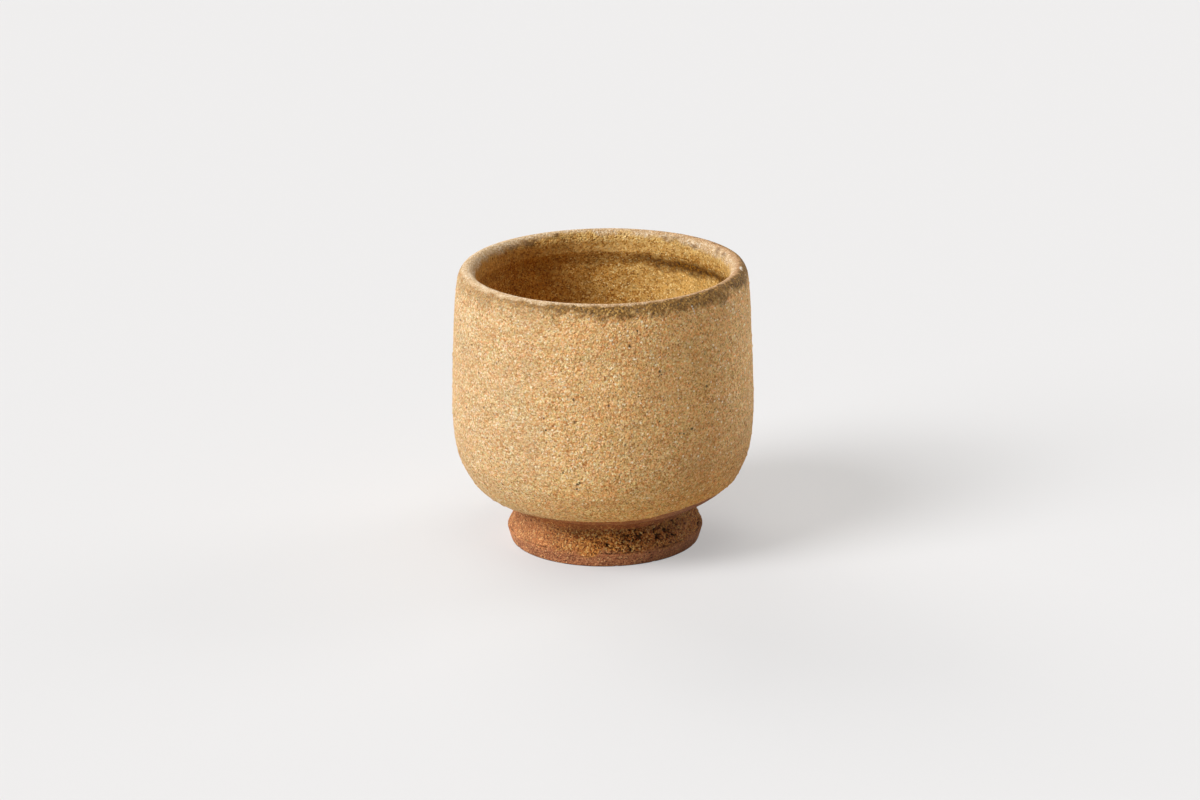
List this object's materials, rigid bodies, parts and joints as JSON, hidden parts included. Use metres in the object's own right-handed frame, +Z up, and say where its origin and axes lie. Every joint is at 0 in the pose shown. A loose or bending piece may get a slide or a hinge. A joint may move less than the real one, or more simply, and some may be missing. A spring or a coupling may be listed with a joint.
{
  "type": "ceramic cup",
  "caption": "Handleless stoneware drinking cup: a straight-sided thrown bowl with a rolled lip, standing on a flared foot ring luted under its rounded base, with glaze coats inside and out.",
  "frame": {"origin": "centre of the circle that the foot ring stands on, on the table's surface", "axes": "+Z up along the cup's axis of revolution; +X to the right in the picture, -Y towards its viewer"},
  "size_m": [0.08, 0.08, 0.075],
  "materials": {
    "bare_stoneware": "fired red-brown stoneware, unglazed, matt",
    "coarse_stoneware": "fired groggy red-brown stoneware, torn and unglazed",
    "luting_slip": "dried clay slip, fired, matt",
    "ash_glaze": "sandy ash glaze, satin matt, grainy and speckled",
    "iron_glaze": "olive-brown glaze with iron, thin on the crown, satin",
    "pooled_glaze": "honey-brown ash glaze, thicker and smoother than outside, satin"
  },
  "bodies": {
    "root": {"clay_bowl": "bare_stoneware", "foot_ring": "coarse_stoneware", "foot_slip": "luting_slip", "outside_glaze": "ash_glaze", "lip_glaze": "iron_glaze", "inside_glaze": "pooled_glaze"}
  },
  "joints": []
}
